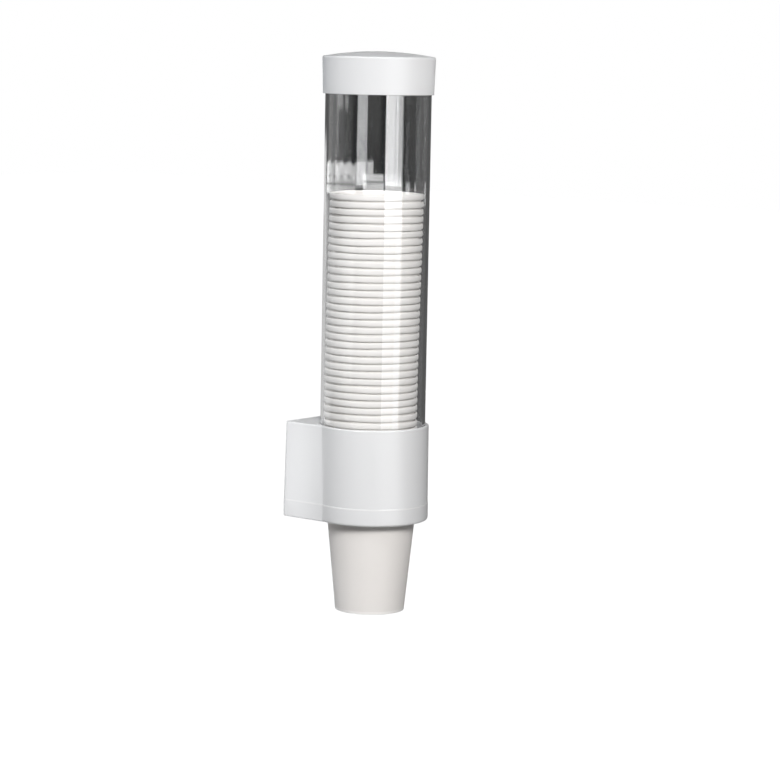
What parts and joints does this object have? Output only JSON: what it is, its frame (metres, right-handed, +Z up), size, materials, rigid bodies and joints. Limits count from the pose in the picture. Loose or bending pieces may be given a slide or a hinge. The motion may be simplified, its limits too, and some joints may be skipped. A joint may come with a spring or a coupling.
{
  "type": "wall cup dispenser",
  "caption": "Wall-mounted pull-type dispenser for nested paper cups: clear tube with a lid, round white housing with a square block at the wall, and soft fingers that hold the lowest cup.",
  "frame": {"origin": "centre of the wall plate's back face, on the wall", "axes": "+Z up along the tube, +Y into the wall, +X to the right for someone facing the dispenser"},
  "size_m": [0.09, 0.1025, 0.4411],
  "materials": {
    "white_plastic": "satin",
    "clear_acrylic": "gloss",
    "cup_paper": "matte",
    "nested_paper": "matte",
    "soft_rubber": "matte",
    "screw_steel": "satin",
    "adhesive_foam": "matte"
  },
  "bodies": {
    "plate": {"wall_plate": "white_plastic", "foam_pad_upper": "adhesive_foam", "foam_pad_lower": "adhesive_foam"},
    "housing": {"housing": "white_plastic", "bottom_cover": "white_plastic", "cover_screw_1": "screw_steel", "cover_screw_2": "screw_steel", "cover_screw_3": "screw_steel", "cover_screw_4": "screw_steel", "finger_ring": "soft_rubber"},
    "tube": {"tube": "clear_acrylic"},
    "lid": {"lid": "white_plastic"},
    "cup": {"lowest_cup": "cup_paper"},
    "stack": {"next_cup": "cup_paper", "cup_stack": "nested_paper", "top_cup": "cup_paper"},
    "finger_1": {"finger_1": "soft_rubber"},
    "finger_2": {"finger_2": "soft_rubber"},
    "finger_3": {"finger_3": "soft_rubber"},
    "finger_4": {"finger_4": "soft_rubber"},
    "finger_5": {"finger_5": "soft_rubber"},
    "finger_6": {"finger_6": "soft_rubber"}
  },
  "joints": [
    {"name": "housing_lift", "type": "slide", "parent": "plate", "child": "housing", "axis": [0, 0, 1], "range_m": [0, 0.015]},
    {"name": "tube_lift", "type": "slide", "parent": "housing", "child": "tube", "axis": [0, 0, 1], "range_m": [0, 0.08]},
    {"name": "lid_lift", "type": "slide", "parent": "tube", "child": "lid", "axis": [0, 0, 1], "range_m": [0, 0.06]},
    {"name": "cup_pull", "type": "slide", "parent": "housing", "child": "cup", "axis": [0, 0, -1], "range_m": [0, 0.11]},
    {"name": "stack_drop", "type": "slide", "parent": "housing", "child": "stack", "axis": [0, 0, -1], "range_m": [0, 0.00573]},
    {"name": "finger_1_swing", "type": "hinge", "parent": "housing", "child": "finger_1", "pos_m": [0.03369, -0.03805, -0.0294], "axis": [0.5, -0.866, 0], "range_deg": [0, 13], "stiffness_Nm_per_rad": 0.02},
    {"name": "finger_2_swing", "type": "hinge", "parent": "housing", "child": "finger_2", "pos_m": [0, -0.0186, -0.0294], "axis": [1, 0, 0], "range_deg": [0, 13], "stiffness_Nm_per_rad": 0.02},
    {"name": "finger_3_swing", "type": "hinge", "parent": "housing", "child": "finger_3", "pos_m": [-0.03369, -0.03805, -0.0294], "axis": [0.5, 0.866, 0], "range_deg": [0, 13], "stiffness_Nm_per_rad": 0.02},
    {"name": "finger_4_swing", "type": "hinge", "parent": "housing", "child": "finger_4", "pos_m": [-0.03369, -0.07695, -0.0294], "axis": [-0.5, 0.866, 0], "range_deg": [0, 13], "stiffness_Nm_per_rad": 0.02},
    {"name": "finger_5_swing", "type": "hinge", "parent": "housing", "child": "finger_5", "pos_m": [0, -0.0964, -0.0294], "axis": [-1, 0, 0], "range_deg": [0, 13], "stiffness_Nm_per_rad": 0.02},
    {"name": "finger_6_swing", "type": "hinge", "parent": "housing", "child": "finger_6", "pos_m": [0.03369, -0.07695, -0.0294], "axis": [-0.5, -0.866, 0], "range_deg": [0, 13], "stiffness_Nm_per_rad": 0.02}
  ],
  "couplings": [
    {"joint": "stack_drop", "follows": "cup_pull", "ratio": 0.052091},
    {"joint": "finger_2_swing", "follows": "finger_1_swing", "ratio": 1},
    {"joint": "finger_3_swing", "follows": "finger_1_swing", "ratio": 1},
    {"joint": "finger_4_swing", "follows": "finger_1_swing", "ratio": 1},
    {"joint": "finger_5_swing", "follows": "finger_1_swing", "ratio": 1},
    {"joint": "finger_6_swing", "follows": "finger_1_swing", "ratio": 1}
  ]
}
